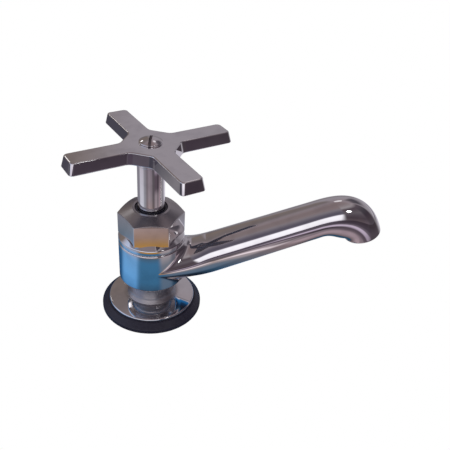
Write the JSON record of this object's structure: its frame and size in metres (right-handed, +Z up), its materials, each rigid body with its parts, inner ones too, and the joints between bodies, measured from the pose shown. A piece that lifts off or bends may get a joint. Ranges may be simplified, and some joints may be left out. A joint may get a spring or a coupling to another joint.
{
  "type": "cross handle tap",
  "caption": "Chromed pillar tap with a cross handle that turns a rising spindle and lifts the valve off its seat, a hexagonal bonnet, a long rising spout and a threaded tail.",
  "frame": {"origin": "centre of the base washer's underside, the face that stands on the basin, on the spindle's axis", "axes": "+Z up the spindle, +X along the spout towards its mouth"},
  "size_m": [0.1515, 0.075, 0.138],
  "materials": {
    "chrome_plate": "bright chrome plate on cast and turned brass, polished",
    "black_rubber": "moulded black rubber, slight sheen",
    "brass": "turned brass, unplated",
    "zinc_steel": "zinc-plated pressed steel",
    "pressed_fibre": "pressed red fibre and waxed packing"
  },
  "bodies": {
    "tap_fixed": {"tap_body": "chrome_plate", "base_washer": "black_rubber", "under_deck_washer": "black_rubber", "backnut_washer": "zinc_steel", "backnut": "brass", "bonnet": "chrome_plate", "bonnet_seal": "pressed_fibre", "packing_washer": "brass", "lower_packing_ring": "pressed_fibre", "upper_packing_ring": "pressed_fibre", "gland_nut": "brass", "stem_cup": "black_rubber"},
    "jumper": {"jumper": "brass", "seat_washer": "black_rubber", "jumper_washer": "brass", "jumper_nut": "brass"},
    "handle": {"spindle": "brass", "handle_sleeve": "chrome_plate", "cross_handle": "chrome_plate", "handle_screw": "chrome_plate", "screw_washer": "zinc_steel"}
  },
  "joints": [
    {"name": "valve_lift", "type": "slide", "parent": "tap_fixed", "child": "jumper", "axis": [0, 0, 1], "range_m": [0, 0.0042]},
    {"name": "handle_turn", "type": "hinge", "parent": "jumper", "child": "handle", "pos_m": [0, 0, 0.06], "axis": [0, 0, 1], "range_deg": [0, 750]}
  ],
  "couplings": [
    {"joint": "valve_lift", "follows": "handle_turn", "m_per_rad": 0.00031831}
  ]
}
